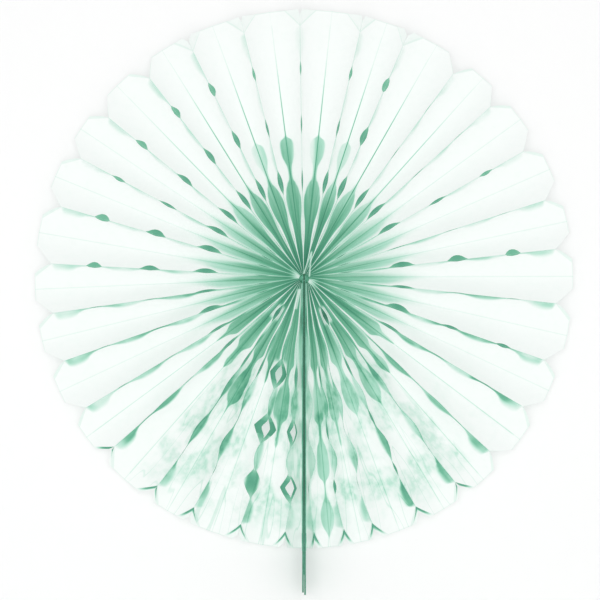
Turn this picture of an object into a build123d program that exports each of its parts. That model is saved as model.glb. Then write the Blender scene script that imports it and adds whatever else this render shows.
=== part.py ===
from build123d import *

import os
from math import asin, cos, degrees, radians, sin, sqrt, tan

# Tissue paper fan rosette, in millimetres and degrees. It stands upright as it hangs on a wall: X to the right,
# Z up, the front toward -Y, and the wall is the plane Y = 0. The origin is where the hub meets the wall.
# Azimuths turn counter-clockwise from +X as seen from the front, so the seam between the two cards is at 270.

# The tissue strip as cut and folded
FAN_RADIUS = 269.0
RIM_CREST_HEIGHT = 16.0  # how far the folds still stand up at the rim once the fan is fully open
TISSUE_THICKNESS = 0.4
PLY_GAP = 0.6
PRESSED_SHARE = 0.12  # the most of the pleat width that one ply takes up where the hub presses the pleats shut
PETAL_HALF_WIDTH = 15.0  # from each valley to the soft bend where the flat petal turns up toward the crest

# The punched pattern along each crest fold, measured on the flat paper
FIRST_HOLE_RADIUS = 42.5
HOLE_PITCH = 55.5
FRONT_HOLE_HALF_LENGTH = 16.0
FRONT_HOLE_DEPTH = 9.0
BACK_HOLE_HALF_LENGTH = 10.0
BACK_HOLE_DEPTH = 6.0
CORNER_CUT_LENGTH = 17.0
UNCUT_LENGTH = 10.0  # the least fold left whole between the last hole and the corner cut

# The fan as opened: the angle from each crest to the next, from the right of the seam round to its left
PLEAT_OPENINGS = (
    6.8, 6.5, 10.6, 10.5, 10.5, 12.6, 11.6, 13.1, 12.3, 11.3, 12.1, 12.6, 11.2, 13.1, 10.2, 13.7,
    12.8, 12.3, 11.6, 12.9, 11.2, 11.8, 13.1, 11.2, 11.1, 11.7, 10.9, 13.2, 9.6, 11.3, 10.2,
)
SEAM_AZIMUTH = 270.0
RIGHT_SEAM_OPENING = 2.2
LEFT_SEAM_OPENING = 4.2
HUB_RADIUS = 5.0
PETAL_RISE = 0.27  # share of the crest height that a petal climbs before its bend at the rim
CREST_LEAN = 0.12  # how much more of it climbs above a level crest, which tips downward, and less below
LOOSE_HALF_ANGLE = 52.0  # the tissue hangs loose within this angle of the seam
LOOSE_LEAN = 0.09
LOOSE_SLUMP = 0.24
LOOSE_SWAY = 0.02  # how far a loose crest winds to each side between its holes, as a share of the radius
GAPING_HOLES = {(30, 1): 0.5, (30, 2): 0.4, (30, 3): 0.4, (31, 3): 0.3}  # (crest, hole): how much wider it is pulled

# The end cards, the tape between them and the glue at the hub
CARD_THICKNESS = 1.6
CARD_CORNER = 5.0
RIGHT_TAIL_LENGTH = 44.5
LEFT_TAIL_LENGTH = 42.0
TAPE_THICKNESS = 0.5
TAPE_TAIL_LENGTH = 24.0
TAPE_MARGIN = 1.5
CARD_TOP = -1.0  # the cards end just short of the hub centre
GLUE_DEPTH = 16.0
GLUE_DOME_MARGIN = 0.8
GLUE_DOME_HEIGHT = 1.2

CARD_FACE = TAPE_THICKNESS / 2 + CARD_THICKNESS
SEAM_HALF_WIDTH = CARD_FACE + TISSUE_THICKNESS
CRESTS = len(PLEAT_OPENINGS) + 1
FOLD_LINES = 2 * CRESTS + 1
OPENING_SLOPE = tan(radians(180 / CRESTS))
PLEAT_WIDTH = sqrt(RIM_CREST_HEIGHT**2 + (FAN_RADIUS * OPENING_SLOPE) ** 2)
BEND_SHARE = PETAL_HALF_WIDTH / PLEAT_WIDTH
NOTCH_RADIUS = FAN_RADIUS - CORNER_CUT_LENGTH
PUNCHED_LENGTH = NOTCH_RADIUS - UNCUT_LENGTH - FRONT_HOLE_HALF_LENGTH - FIRST_HOLE_RADIUS
HOLE_RADII = [FIRST_HOLE_RADIUS + HOLE_PITCH * i for i in range(int(PUNCHED_LENGTH / HOLE_PITCH) + 1)]
STATIONS = [HUB_RADIUS] + HOLE_RADII + [FAN_RADIUS]


def on_circle(radius, azimuth):
    """A point (x, z) seen from the front."""
    return radius * cos(radians(azimuth)), radius * sin(radians(azimuth))


def between(start, end, share):
    """The point at a share of the way from one point to another."""
    return tuple(a + (b - a) * share for a, b in zip(start, end))


def looseness(azimuth):
    """1 at the seam, falling smoothly to 0 where the pleats are neat."""
    off = abs(azimuth % 360 - SEAM_AZIMUTH)
    return max(0.0, cos(radians(90 * min(off / LOOSE_HALF_ANGLE, 1.0)))) ** 0.5


def crest_azimuths():
    """Where each crest would lie if it stood straight up."""
    azimuths = [SEAM_AZIMUTH + RIGHT_SEAM_OPENING]
    total = 360 - RIGHT_SEAM_OPENING - LEFT_SEAM_OPENING
    scale = total / sum(PLEAT_OPENINGS)
    for opening in PLEAT_OPENINGS:
        azimuths.append(azimuths[-1] + opening * scale)
    return azimuths


def petal_rise(valley, crest, along):
    """The share of the crest height reached at the bend of one panel, straight at the hub and curved at the rim."""
    azimuth = crest_azimuths()[crest // 2]
    side = 1 if valley < crest else -1
    lean = CREST_LEAN * cos(radians(azimuth)) * -side
    ruffle = LOOSE_LEAN * looseness(azimuth) * sin(2.4 * crest + 1.0) * side
    return BEND_SHARE + (PETAL_RISE - BEND_SHARE + lean + ruffle) * along


def crest_slump(crest, azimuth):
    """The share of its height that a crest loses at the rim where the tissue is loose."""
    return LOOSE_SLUMP * looseness(azimuth) * (0.5 + 0.5 * sin(1.7 * crest))


def fold_line_ends():
    """The (hub point, rim point) of every fold line: valleys at even numbers and crests at odd ones."""
    crests = crest_azimuths()
    hub_start = degrees(asin(SEAM_HALF_WIDTH / HUB_RADIUS))
    hub_step = (360 - 2 * hub_start) / (FOLD_LINES - 1)
    seam_drop = -sqrt(FAN_RADIUS**2 - SEAM_HALF_WIDTH**2)
    rims = [(SEAM_HALF_WIDTH, seam_drop)]
    for crest, azimuth in enumerate(crests):
        rims.append(on_circle(FAN_RADIUS, azimuth))
        if crest + 1 < CRESTS:
            rims.append(on_circle(FAN_RADIUS, (azimuth + crests[crest + 1]) / 2))
    rims.append((-SEAM_HALF_WIDTH, seam_drop))
    hubs = [on_circle(HUB_RADIUS, SEAM_AZIMUTH + hub_start + hub_step * i) for i in range(FOLD_LINES)]
    return list(zip(hubs, rims))


FOLD_ENDS = fold_line_ends()
CREST_SLUMPS = [crest_slump(crest, azimuth) for crest, azimuth in enumerate(crest_azimuths())]


def pleat_height(radius):
    """The height from wall to crest of a pleat that keeps its width as it opens."""
    return sqrt(PLEAT_WIDTH**2 - (radius * OPENING_SLOPE) ** 2)


def stacked(thickness, radius):
    """A thickness of paper measured toward the wall, which grows as the pleat stands steeper."""
    return min(thickness * PLEAT_WIDTH / (radius * OPENING_SLOPE), PRESSED_SHARE * PLEAT_WIDTH)


def sheet_step(radius):
    """How far the back sheet lies behind the front one, measured toward the wall."""
    return stacked(TISSUE_THICKNESS, radius) + stacked(PLY_GAP, radius)


def share_along(radius):
    """0 at the hub and 1 at the rim."""
    return (radius - HUB_RADIUS) / (FAN_RADIUS - HUB_RADIUS)


def fold_point(line, radius, ply):
    """The front of a fold at a distance from the hub, as (x, y, z). Ply 0 is the front sheet and 1 the back."""
    hub, rim = FOLD_ENDS[line]
    along = share_along(radius)
    x, z = between(hub, rim, along)
    if line % 2:
        height = pleat_height(radius) * (1 - CREST_SLUMPS[line // 2] * along)
    else:
        height = stacked(TISSUE_THICKNESS, radius) + sheet_step(radius)
    return x, ply * sheet_step(radius) - height, z


def bend_point(valley, crest, radius, ply):
    """The front of the soft bend in one panel."""
    low, high = fold_point(valley, radius, ply), fold_point(crest, radius, ply)
    x, _, z = between(low, high, BEND_SHARE)
    rise = petal_rise(valley, crest, share_along(radius))
    return x, low[1] + (high[1] - low[1]) * rise, z


def winding(crest):
    """How far a crest winds away from the seam, as a share of the radius."""
    azimuth = crest_azimuths()[crest // 2]
    away = 1 if azimuth % 360 > SEAM_AZIMUTH else -1
    return away * LOOSE_SWAY * looseness(azimuth) ** 2


def winding_wave(radius):
    """-1 at the middle of each hole, 1 half way from one hole to the next, and 0 at the hub and the corner cuts."""
    if radius <= HOLE_RADII[0]:
        return -(radius - HUB_RADIUS) / (HOLE_RADII[0] - HUB_RADIUS)
    if radius >= HOLE_RADII[-1]:
        return -(NOTCH_RADIUS - radius) / (NOTCH_RADIUS - HOLE_RADII[-1])
    off = min(abs(radius - hole) for hole in HOLE_RADII)
    if off < FRONT_HOLE_HALF_LENGTH:
        return off / FRONT_HOLE_HALF_LENGTH - 1
    return (off - FRONT_HOLE_HALF_LENGTH) / (HOLE_PITCH / 2 - FRONT_HOLE_HALF_LENGTH)


def crest_point(crest, radius, ply):
    """The front of a crest fold, which winds from hole to hole where the tissue is loose."""
    x, y, z = fold_point(crest, radius, ply)
    sway = winding(crest) * winding_wave(radius) * radius
    azimuth = radians(crest_azimuths()[crest // 2])
    return x - sway * sin(azimuth), y, z + sway * cos(azimuth)


def valley_edge(valley, ply):
    """The front of a valley fold at the hub, at the middle of each hole and at the rim."""
    return [(radius, fold_point(valley, radius, ply)) for radius in STATIONS]


def bend_edge(valley, crest, ply):
    """The front of a panel's bend at the same distances from the hub."""
    return [(radius, bend_point(valley, crest, radius, ply)) for radius in STATIONS]


def crest_edge(valley, crest, ply, hole_half_length, hole_depth):
    """The crest side of one panel: the fold itself with the half diamonds punched from it, up to the corner cut."""
    points = [(HUB_RADIUS, crest_point(crest, HUB_RADIUS, ply))]
    for number, hole in enumerate(HOLE_RADII):
        before, after = hole - hole_half_length, hole + hole_half_length
        pull = 1 + GAPING_HOLES.get((crest // 2, number), 0) * (1 - ply / 2)
        share = min(pull * hole_depth / (PLEAT_WIDTH - PETAL_HALF_WIDTH), 0.9)
        deepest = between(crest_point(crest, hole, ply), bend_point(valley, crest, hole, ply), share)
        points.append((before, crest_point(crest, before, ply)))
        points.append((hole, deepest))
        points.append((after, crest_point(crest, after, ply)))
        if abs(winding(crest)) > LOOSE_SWAY / 4 and hole != HOLE_RADII[-1]:
            half_way = hole + HOLE_PITCH / 2
            points.append((half_way, crest_point(crest, half_way, ply)))
    points.append((NOTCH_RADIUS, crest_point(crest, NOTCH_RADIUS, ply)))
    return points


def behind(radius, point):
    """The back of the paper under a point on its front."""
    x, y, z = point
    return x, y + stacked(TISSUE_THICKNESS, radius), z


def flat_face(points):
    """A flat facet through its corners."""
    return Face(Wire.make_polygon([Vector(*point) for point in points], close=True))


def facets_between(edge, other):
    """Triangles that fill the strip between two rows of (radius, point), always across the shorter diagonal."""
    facets, i, j = [], 0, 0
    while i + 1 < len(edge) or j + 1 < len(other):
        to_other = abs(other[j + 1][0] - edge[i][0]) if j + 1 < len(other) else FAN_RADIUS
        to_edge = abs(edge[i + 1][0] - other[j][0]) if i + 1 < len(edge) else FAN_RADIUS
        if to_other <= to_edge + 0.001:
            facets.append((edge[i], other[j + 1], other[j]))
            j += 1
        else:
            facets.append((edge[i], edge[i + 1], other[j]))
            i += 1
    return facets


def both_sides(facet):
    """A facet on the front of the paper and the same facet on its back."""
    front = [point for _, point in facet]
    back = [behind(radius, point) for radius, point in facet]
    return [flat_face(front), flat_face(back)]


def cut_edge(start, end):
    """The thickness of the paper where it ends, between two (radius, point) on its front."""
    return flat_face([start[1], end[1], behind(*end), behind(*start)])


def panel_faces(valley, crest, ply, hole_half_length, hole_depth):
    """The front, back and cut edges of one panel of a ply, from its valley fold to its crest fold."""
    inner = valley_edge(valley, ply)
    middle = bend_edge(valley, crest, ply)
    outer = crest_edge(valley, crest, ply, hole_half_length, hole_depth)
    faces = []
    for facet in facets_between(inner, middle) + facets_between(middle, outer):
        faces += both_sides(facet)
    faces += [cut_edge(inner[0], middle[0]), cut_edge(middle[0], outer[0])]
    faces += [cut_edge(inner[-1], middle[-1]), cut_edge(middle[-1], outer[-1])]
    for i, (radius, _) in enumerate(outer):
        if radius in HOLE_RADII:
            faces += [cut_edge(outer[i - 1], outer[i]), cut_edge(outer[i], outer[i + 1])]
    return faces


def seam_edge_faces(valley, ply):
    """The open side of an end panel of the front sheet, which butts against the lap of the back sheet."""
    edge = valley_edge(valley, ply)
    return [cut_edge(start, end) for start, end in zip(edge, edge[1:])]


def lap_faces(valley, ply):
    """The lap of the back sheet, turned up from its seam fold and glued flat on the end card."""
    edge = valley_edge(valley, ply)
    side = 1 if valley == 0 else -1
    inner_x = side * CARD_FACE
    lower = [behind(*station) for station in edge]
    upper = [point for _, point in edge]
    (x, wall, top), (_, _, bottom) = lower[0], lower[-1]
    outer_top, outer_bottom = (x, -PLEAT_WIDTH, top), (x, -PLEAT_WIDTH, bottom)
    inner_top, inner_bottom = (inner_x, -PLEAT_WIDTH, top), (inner_x, -PLEAT_WIDTH, bottom)
    wall_top, wall_bottom = (inner_x, wall, top), (inner_x, wall, bottom)
    return [
        flat_face(upper + [outer_bottom, outer_top]),
        flat_face([inner_top, inner_bottom, wall_bottom, wall_top]),
        flat_face([outer_top, outer_bottom, inner_bottom, inner_top]),
        flat_face(lower + [wall_bottom, wall_top]),
        flat_face([outer_top, upper[0], lower[0], wall_top, inner_top]),
        flat_face([outer_bottom, upper[-1], lower[-1], wall_bottom, inner_bottom]),
    ]


def folded_sheet(ply, hole_half_length, hole_depth, end_faces):
    """One ply as a single solid. A pleated sheet has no one profile, so its panels are sewn along their folds."""
    faces = []
    for crest in range(1, FOLD_LINES, 2):
        for valley in (crest - 1, crest + 1):
            faces += panel_faces(valley, crest, ply, hole_half_length, hole_depth)
    faces += end_faces(0, ply) + end_faces(FOLD_LINES - 1, ply)
    return Solid(Shell(faces))


with BuildPart() as front_ply:
    add(folded_sheet(0, FRONT_HOLE_HALF_LENGTH, FRONT_HOLE_DEPTH, seam_edge_faces))

with BuildPart() as back_ply:
    add(folded_sheet(1, BACK_HOLE_HALF_LENGTH, BACK_HOLE_DEPTH, lap_faces))


def end_card(tail_length, side):
    """A card strip on edge beside the seam, from the hub down past the rim. Side is 1 on the right, -1 on the left."""
    length = CARD_TOP + FAN_RADIUS + tail_length
    with BuildPart() as card:
        with BuildSketch(Plane.YZ.offset(side * TAPE_THICKNESS / 2)):
            with Locations((0, CARD_TOP)):
                Rectangle(PLEAT_WIDTH, length, align=(Align.MAX, Align.MAX))
        extrude(amount=side * CARD_THICKNESS)
        tail_corners = card.edges().filter_by(Axis.X).group_by(Axis.Z)[0]
        fillet(tail_corners, CARD_CORNER)
    return card.part


with BuildPart() as right_end_card:
    add(end_card(RIGHT_TAIL_LENGTH, 1))

with BuildPart() as left_end_card:
    add(end_card(LEFT_TAIL_LENGTH, -1))

with BuildPart() as seam_tape:
    with BuildSketch(Plane.YZ.offset(-TAPE_THICKNESS / 2)):
        with Locations((-TAPE_MARGIN, CARD_TOP - TAPE_MARGIN)):
            Rectangle(
                PLEAT_WIDTH - 2 * TAPE_MARGIN,
                CARD_TOP - TAPE_MARGIN + FAN_RADIUS + TAPE_TAIL_LENGTH,
                align=(Align.MAX, Align.MAX),
            )
    extrude(amount=TAPE_THICKNESS)

with BuildPart() as hub_glue:
    with BuildSketch(Plane.XZ):
        Polygon(*[hub for hub, _ in FOLD_ENDS], align=None)
    extrude(amount=GLUE_DEPTH)
    with BuildSketch(Plane.XZ.offset(GLUE_DEPTH)):
        Circle(HUB_RADIUS - GLUE_DOME_MARGIN)
    extrude(amount=GLUE_DOME_HEIGHT)
    front_rim = hub_glue.edges().sort_by(Axis.Y)[0]
    chamfer(front_rim, GLUE_DOME_HEIGHT / 2)
    with BuildSketch(Plane.XZ):
        with Locations((0, CARD_TOP)):
            Rectangle(2 * CARD_FACE, CARD_TOP + 2 * HUB_RADIUS, align=(Align.CENTER, Align.MAX))
    extrude(amount=PLEAT_WIDTH, mode=Mode.SUBTRACT)

pieces = {
    "front_ply": front_ply,
    "back_ply": back_ply,
    "right_end_card": right_end_card,
    "left_end_card": left_end_card,
    "seam_tape": seam_tape,
    "hub_glue": hub_glue,
}

os.makedirs("parts", exist_ok=True)
for name, piece in pieces.items():
    piece.part.label = name
    export_step(piece.part, f"parts/{name}.step")
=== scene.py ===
"""A hanging paper fan rosette: two plies of mint tissue, pleated and punched together and opened full circle.

The tissue is cut flat as a strip of panels. A fold rule in Geometry Nodes then carries each point of the strip
between its valley line and its crest line, so both plies follow the same folds. Sizes are in metres. Azimuths are
in degrees, counted anticlockwise from the right.
"""

import logging
import math
from collections.abc import Sequence
from dataclasses import astuple, dataclass, field
from enum import Enum
from functools import partialmethod
from typing import Union
import bpy
import numpy as np
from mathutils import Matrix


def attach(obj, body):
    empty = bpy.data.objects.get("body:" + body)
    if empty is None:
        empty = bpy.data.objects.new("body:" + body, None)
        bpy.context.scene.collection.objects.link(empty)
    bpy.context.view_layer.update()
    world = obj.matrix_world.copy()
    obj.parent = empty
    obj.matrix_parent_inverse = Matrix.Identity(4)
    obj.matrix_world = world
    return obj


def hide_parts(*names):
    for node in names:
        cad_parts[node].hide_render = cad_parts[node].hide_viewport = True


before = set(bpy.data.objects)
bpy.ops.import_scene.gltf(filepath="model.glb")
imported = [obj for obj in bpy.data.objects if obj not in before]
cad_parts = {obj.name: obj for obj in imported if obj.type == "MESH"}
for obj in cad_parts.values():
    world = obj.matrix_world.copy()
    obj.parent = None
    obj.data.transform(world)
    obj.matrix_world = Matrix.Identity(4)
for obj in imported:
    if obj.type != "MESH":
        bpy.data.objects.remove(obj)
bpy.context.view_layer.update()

LOG = logging.getLogger("fan")
MM = 0.001
WHITE = (1.0, 1.0, 1.0, 1.0)

Socket = bpy.types.NodeSocket
Node = bpy.types.Node
Tree = bpy.types.NodeTree
Material = bpy.types.Material
Piece = bpy.types.Object
Triple = tuple[float, float, float]
Curve = tuple[tuple[float, float], ...]
Term = Union["Field", float]


class Side(Enum):
    """The side of the seam, seen from the front."""

    RIGHT = 1
    LEFT = -1


class Ply(Enum):
    """The two sheets of tissue, counted from the front."""

    FRONT = 0
    BACK = 1


class HoleLook(Enum):
    """How far the edge of a crest's holes stands from the crest, in its second hole and in the two beyond it."""

    SHUT = (0.3 * MM, 0.3 * MM)
    SLIT = (1.8 * MM, 1.6 * MM)
    SLIT_THEN_SHUT = (1.8 * MM, 0.4 * MM)
    LENS = (4.2 * MM, 3.9 * MM)
    LENS_THEN_SLIT = (4.2 * MM, 1.7 * MM)
    LENS_THEN_SHUT = (4.2 * MM, 0.4 * MM)
    ARCH = (5.6 * MM, 5.4 * MM)
    ARCH_THEN_SLIT = (5.6 * MM, 1.8 * MM)


@dataclass(frozen=True)
class FanSizes:
    """What both plies share: the strip as folded, and where its folds lie round the hub.

    Openings are the angles between crests, counted from the right of the seam. For each slack valley, a table
    gives how far out, in millimetres, the painted leaf shade runs.
    """

    hub_radius: float = 5 * MM
    fan_radius: float = 269 * MM
    rim_crest_height: float = 16 * MM
    tissue: float = 0.4 * MM
    ply_gap: float = 0.6 * MM
    pressed_share: float = 0.12
    flat_half_width: float = 15 * MM
    corner_cut: float = 17 * MM
    first_hole: float = 42.5 * MM
    hole_pitch: float = 55.5 * MM
    holes: int = 4
    seam_half_width: float = 2.25 * MM
    card_face: float = 1.85 * MM
    seam_azimuth: float = 270
    right_opening: float = 2.2
    left_opening: float = 4.2
    loose_half_angle: float = 52
    slump: float = 0.24
    sway: float = 0.021
    crumple: float = 2.2 * MM
    crumple_scale: float = 42.0
    crumple_seed: float = 7.0
    neat_leaf_shade_reach: float = 100
    openings: tuple[float, ...] = (
        6.8, 6.5, 10.6, 10.5, 10.5, 12.6, 11.6, 13.1, 12.3, 11.3, 12.1, 12.6, 11.2, 13.1, 10.2, 13.7,
        12.8, 12.3, 11.6, 12.9, 11.2, 11.8, 13.1, 11.2, 11.1, 11.7, 10.9, 13.2, 9.6, 11.3, 10.2,
    )
    leaf_shade_reaches: tuple[tuple[int, float], ...] = (
        (1, 263), (2, 172), (3, 150), (4, 150), (5, 128), (6, 112),
        (27, 108), (28, 120), (29, 158), (30, 112), (31, 172),
    )

    @property
    def crests(self) -> int:
        """Number of crest folds."""
        return len(self.openings) + 1

    @property
    def lines(self) -> int:
        """Number of fold lines, valleys and crests in turn, with the two seam edges."""
        return 2 * self.crests + 1

    @property
    def opening_slope(self) -> float:
        """How fast the space between a valley and a crest grows with the radius."""
        return math.tan(math.pi / self.crests)

    @property
    def pleat_width(self) -> float:
        """Width of one panel of the strip, from valley to crest."""
        return math.hypot(self.rim_crest_height, self.fan_radius * self.opening_slope)

    @property
    def notch_radius(self) -> float:
        """Where the corner cut meets the crest."""
        return self.fan_radius - self.corner_cut

    @property
    def hole_radii(self) -> tuple[float, ...]:
        """The middle of each hole along a crest."""
        return tuple(self.first_hole + self.hole_pitch * i for i in range(self.holes))

    def hollow(self, valley: int) -> float:
        """How far out the painted leaf shade runs in a valley."""
        return dict(self.leaf_shade_reaches).get(valley, self.neat_leaf_shade_reach) * MM

    def crest_azimuths(self) -> list[float]:
        """Where each crest runs, counted from the right of the seam.

        Returns:
            One azimuth for each crest.
        """
        azimuths = [self.seam_azimuth + self.right_opening]
        scale = (360 - self.right_opening - self.left_opening) / sum(self.openings)
        for opening in self.openings:
            azimuths.append(azimuths[-1] + opening * scale)
        return azimuths

    def looseness(self, azimuth: float) -> float:
        """How loose the tissue is at an azimuth: 1 at the seam, falling to 0 where the pleats are neat."""
        off = abs(azimuth % 360 - self.seam_azimuth)
        return max(0.0, math.cos(math.radians(90 * min(off / self.loose_half_angle, 1.0)))) ** 0.5

    def line_ends(self) -> list[tuple[tuple[float, float], tuple[float, float]]]:
        """The ends of every fold line, seen from the front.

        Returns:
            A (hub point, rim point) of each line, as (x, z).
        """
        crests = self.crest_azimuths()
        start = math.degrees(math.asin(self.seam_half_width / self.hub_radius))
        step = (360 - 2 * start) / (self.lines - 1)
        drop = -math.sqrt(self.fan_radius**2 - self.seam_half_width**2)
        rims = [(self.seam_half_width, drop)]
        for crest, azimuth in enumerate(crests):
            rims.append(on_circle(self.fan_radius, azimuth))
            if crest + 1 < self.crests:
                rims.append(on_circle(self.fan_radius, (azimuth + crests[crest + 1]) / 2))
        rims.append((-self.seam_half_width, drop))
        hubs = [on_circle(self.hub_radius, self.seam_azimuth + start + step * i) for i in range(self.lines)]
        return list(zip(hubs, rims))


def on_circle(radius: float, azimuth: float) -> tuple[float, float]:
    """A point (x, z) on a circle round the hub, seen from the front."""
    return radius * math.cos(math.radians(azimuth)), radius * math.sin(math.radians(azimuth))


class Field:
    """A number that varies over a piece, held by a node's socket, so that a rule reads as arithmetic."""

    def __init__(self, socket: Socket) -> None:
        """Holds the socket."""
        self.socket = socket

    def math(self, operation: str, *others: Term) -> "Field":
        """Adds a Math node.

        Args:
            operation: the node's operation.
            others: its inputs after this one.

        Returns:
            The result.
        """
        node = self.socket.id_data.nodes.new("ShaderNodeMath")
        node.operation = operation
        for term, target in zip((self, *others), node.inputs):
            plug(term, target)
        return Field(node.outputs[0])

    # Each of these operators is a Math node.
    __add__ = __radd__ = partialmethod(math, "ADD")
    __sub__ = partialmethod(math, "SUBTRACT")
    __rsub__ = partialmethod(math, "MULTIPLY_ADD", -1.0)
    __mul__ = __rmul__ = partialmethod(math, "MULTIPLY")
    __truediv__ = partialmethod(math, "DIVIDE")
    __pow__ = partialmethod(math, "POWER")
    __neg__ = partialmethod(math, "MULTIPLY", -1.0)
    __abs__ = partialmethod(math, "ABSOLUTE")
    at_least = partialmethod(math, "MAXIMUM")
    at_most = partialmethod(math, "MINIMUM")

    def clip(self, low: float, high: float) -> "Field":
        """The number kept between two others."""
        return self.at_least(low).at_most(high)

    def between(self, low: Term, high: Term) -> "Field":
        """Mixes two values by this share: the first at 0, the second at 1."""
        return (1.0 - self) * low + self * high

    def ramp(self, start: Term, end: Term) -> "Field":
        """A smooth step.

        Args:
            start: where the step is 0.
            end: where it is 1.

        Returns:
            A value from 0 to 1.
        """
        node = self.socket.id_data.nodes.new("ShaderNodeMapRange")
        node.interpolation_type = "SMOOTHSTEP"
        for term, name in ((self, "Value"), (start, "From Min"), (end, "From Max")):
            plug(term, node.inputs[name])
        return Field(node.outputs["Result"])

    def curve(self, points: Curve, span: float = 280 * MM) -> "Field":
        """Looks the number up on a drawn curve.

        Args:
            points: (x, y) pairs, with x in millimetres and y from 0 to 1.
            span: the length that the curve covers.

        Returns:
            The height of the curve.
        """
        node = self.socket.id_data.nodes.new("ShaderNodeFloatCurve")
        line = node.mapping.curves[0]
        while len(line.points) < len(points):
            line.points.new(0.5, 0.5)
        for point, (x, y) in zip(line.points, points):
            point.location = (x * MM / span, y)
            point.handle_type = "AUTO_CLAMPED"
        node.mapping.update()
        plug(self / span, node.inputs["Value"])
        return Field(node.outputs["Value"])


def plug(value: object, target: Socket) -> None:
    """Puts a field, another node's socket or a plain value into a node's input.

    Args:
        value: what goes in.
        target: the input.
    """
    source = value.socket if isinstance(value, Field) else value
    if isinstance(source, Socket):
        target.id_data.links.new(source, target)
    else:
        target.default_value = source


class Workbench:
    """A node tree being built, with the few nodes that the rules below are made of."""

    def __init__(self, tree: Tree) -> None:
        """Holds the tree."""
        self.tree = tree

    def offer(self, name: str, kind: str, way: str = "INPUT") -> None:
        """Gives the tree a named input or output."""
        self.tree.interface.new_socket(name, in_out=way, socket_type="NodeSocket" + kind)

    def wire(self, node: Node, inputs: dict[str, object]) -> None:
        """Fills a node's inputs, by name."""
        for name, value in inputs.items():
            plug(value, node.inputs[name])

    def node(self, kind: str, inputs: dict[str, object] | None = None, **settings: object) -> Node:
        """Adds a node.

        Args:
            kind: the node's type.
            inputs: what goes into its inputs, by name.
            settings: properties to set on it first.

        Returns:
            The node.
        """
        node = self.tree.nodes.new(kind)
        for name, value in settings.items():
            setattr(node, name, value)
        self.wire(node, inputs or {})
        return node

    def split(self, vector: Socket) -> list[Field]:
        """The three parts of a vector."""
        return [Field(part) for part in self.node("ShaderNodeSeparateXYZ", {"Vector": vector}).outputs]

    def join(self, x: Term, y: Term, z: Term) -> Socket:
        """A vector from its three parts."""
        return self.node("ShaderNodeCombineXYZ", {"X": x, "Y": y, "Z": z}).outputs[0]

    def noise(self, vector: Socket, scale: Term, detail: float) -> Field:
        """Soft noise near 0.5, with its fineness and the number of finer layers in it."""
        inputs = {"Vector": vector, "Scale": scale, "Detail": detail}
        return Field(self.node("ShaderNodeTexNoise", inputs).outputs[0])


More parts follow.
